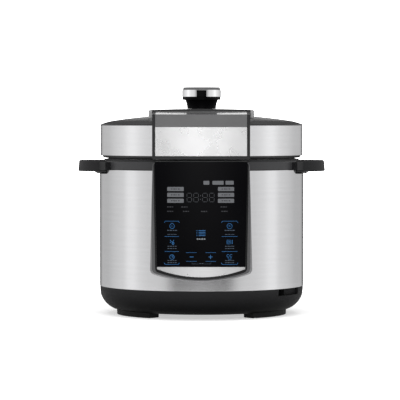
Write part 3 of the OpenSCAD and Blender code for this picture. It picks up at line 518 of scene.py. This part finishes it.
def draw_buttons():
    ink = Ink("panel_symbols", INK["blue"])
    words = Ink("panel_captions", INK["label"])
    left, right = -38.5, 37.9
    columns = (
        (left, -48.9, -28.8, (icon_cook, icon_heat, icon_timer)),
        (right, 26.9, 48.9, (icon_start, icon_thermometer, icon_chef)),
    )
    for x, x0, x1, icons in columns:
        bracket(ink, x0, x1, 133.6, True)
        for z in (113.3, 93.4):
            ink.path([(x0 + 0.6, z), (x1 - 0.6, z)], LINE)
        bracket(ink, x0, x1, 76.2, False)
        for icon, z in zip(icons, (127, 105.9, 86.2)):
            icon(ink, x, z)
        words.dashes(x, 121.4, (2.6, 3.4, 2.2, 3.0), 1.2)
        words.dashes(x, 116.0, (3.6, 3.0, 4.4), 0.7)
        for z in (100.3, 97.3, 81.4, 78.6):
            words.dashes(x, z, (2.4, 3.2, 1.8, 2.6), 0.9)
    for row in range(4):
        z = 121.2 - 2.2 * row
        ink.path([(-3.2, z), (5.8, z)], BOLD)
        ink.bar(-6.0, -5.0, z, 0.8, 0.2)
    for x, x0, x1 in ((-12.5, -20, -5.8), (12.6, 6, 19.8)):
        for z in (92, 80.4):
            ink.path([(x0, z), (x1, z)], FINE)
        ink.path([(x - 2.6, 86.3), (x + 2.6, 86.3)], BOLD)
    for z0, z1 in ((88.9, 86.8), (85.8, 83.7)):
        ink.path([(12.6, z0), (12.6, z1)], BOLD)
    words.path([(-12, 79), (-12, 77), (-3, 77)], FINE)
    words.path([(4, 77), (13, 77), (13, 79)], FINE)
    words.dashes(0.5, 77.4, (2.6, 2.2), 0.8)
    ink.finish()
    words.finish()
    heading = Ink("panel_heading", INK["white"])
    heading.dashes(0, 110, (2.4, 2.0, 2.8, 2.2), 1.6)
    heading.finish()


draw_status_bars()
draw_digits()
draw_buttons()

# ---------- stage, light and camera ----------

# The studio's light by direction: degrees round from the front, and its level there
LEVELS = (
    (0, 3.20), (6, 2.90), (12, 1.90), (18, 1.00), (24, 0.55), (50, 0.79), (62, 0.83), (74, 0.95),
    (82, 1.10), (90, 1.10), (99, 0.90), (116, 0.78), (130, 0.64), (150, 0.58), (155, 0.50),
    (160, 0.30), (164, 0.10), (176.5, 0.06), (178, 1.20), (180, 1.40)
)
# Directions with a level of their own: it fades in between two angles round and between two
# heights, where 1 is straight up, and comes last in each row
PATCHES = (
    (45, 25, 0.09, 0.03, 0.28),
    (168, 173, 0.06, 0.02, 0.10),
    (168, 173, 0.15, 0.22, 0.12),
)
PEAK = max(level for degrees, level in LEVELS)
# The level overhead, and the heights between which it takes over
OVERHEAD = 0.55
OVERHEAD_HEIGHTS = (0.35, 0.85)
FLOOR_GLOW = 0.5
FLOOR_RADIUS = 0.46


def make_floor():
    """A round pale floor, its rim lost in the white of the studio."""
    bm = bmesh.new()
    bmesh.ops.create_circle(bm, cap_ends=True, radius=FLOOR_RADIUS, segments=96)
    mesh = bpy.data.meshes.new("floor")
    bm.to_mesh(mesh)
    bm.free()
    s = Shade("floor", (0.86, 0.86, 0.86), 0.9, Specular_IOR_Level=0.0)
    s.set("Emission Color", (1, 1, 1, 1))
    s.set("Emission Strength", FLOOR_GLOW)
    s.tint(s.noise(s.place(), 3, 2), 0.01)
    mesh.materials.append(s.mat)
    floor = bpy.data.objects.new("floor", mesh)
    bpy.context.scene.collection.objects.link(floor)


def make_world():
    """A studio of soft light, bright at the sides and in front and dim behind; white where it is seen."""
    world = bpy.data.worlds.new("studio")
    world.use_nodes = True
    tree = world.node_tree
    back = tree.nodes["Background"]
    place = tree.nodes.new("ShaderNodeTexCoord")
    split = tree.nodes.new("ShaderNodeSeparateXYZ")
    tree.links.new(place.outputs["Generated"], split.inputs[0])

    side = math_node(tree, "ABSOLUTE", split.outputs[0])
    front = math_node(tree, "MULTIPLY", split.outputs[1], -1.0)
    turn = math_node(tree, "DIVIDE", math_node(tree, "ARCTAN2", side, front), math.pi)
    ramp = tree.nodes.new("ShaderNodeValToRGB")
    tree.links.new(turn, ramp.inputs[0])
    elements = ramp.color_ramp.elements
    while len(elements) < len(LEVELS):
        elements.new(0.5)
    for element, (degrees, level) in zip(elements, LEVELS):
        element.position = degrees / 180
        element.color = (level / PEAK, level / PEAK, level / PEAK, 1)

    def fade(value, start, end):
        made = tree.nodes.new("ShaderNodeMapRange")
        made.interpolation_type = "SMOOTHSTEP"
        made.inputs["From Min"].default_value = start
        made.inputs["From Max"].default_value = end
        tree.links.new(value, made.inputs["Value"])
        return made.outputs["Result"]

    def lay(under, weight, level):
        made = tree.nodes.new("ShaderNodeMix")
        made.data_type = "RGBA"
        tree.links.new(weight, made.inputs["Factor"])
        tree.links.new(under, made.inputs["A"])
        made.inputs["B"].default_value = (level / PEAK, level / PEAK, level / PEAK, 1)
        return made.outputs["Result"]

    height = split.outputs[2]
    light = ramp.outputs["Color"]
    for turn_0, turn_1, height_0, height_1, level in PATCHES:
        near = fade(turn, turn_0 / 180, turn_1 / 180)
        low = fade(height, height_0, height_1)
        light = lay(light, math_node(tree, "MULTIPLY", near, low), level)
    light = lay(light, fade(height, *OVERHEAD_HEIGHTS), OVERHEAD)
    seen = tree.nodes.new("ShaderNodeLightPath")
    light = lay(light, seen.outputs["Is Camera Ray"], PEAK)
    tree.links.new(light, back.inputs["Color"])
    back.inputs["Strength"].default_value = PEAK
    bpy.context.scene.world = world


def soft_light(name, place, target, size, power):
    """A rectangular lamp at place that points at target."""
    light = bpy.data.lights.new(name, "AREA")
    light.shape, light.size, light.energy = "RECTANGLE", size[0], power
    light.size_y = size[1]
    made = bpy.data.objects.new(name, light)
    made.location = place
    made.rotation_euler = (Vector(target) - Vector(place)).to_track_quat("-Z", "Y").to_euler()
    bpy.context.scene.collection.objects.link(made)


def make_camera():
    """A long lens nearly level with the lid, a touch right of the middle."""
    distance, height, swing = 3.5, 0.268, math.radians(0.3)
    aim = Vector((-0.0022, 0, 0.157))
    data = bpy.data.cameras.new("camera")
    data.sensor_width, data.lens = 36, 227.3
    data.clip_start, data.clip_end = 0.1, 50
    made = bpy.data.objects.new("camera", data)
    made.location = (distance * math.sin(swing) + aim.x, -distance * math.cos(swing), height)
    made.rotation_euler = (aim - made.location).to_track_quat("-Z", "Y").to_euler()
    bpy.context.scene.collection.objects.link(made)
    bpy.context.scene.camera = made


make_floor()
make_world()
soft_light("top_light", place=(0, -0.5, 2.2), target=(0, 0, 0.1), size=(2.0, 1.4), power=22)
make_camera()
bpy.context.scene.view_settings.view_transform = "Standard"
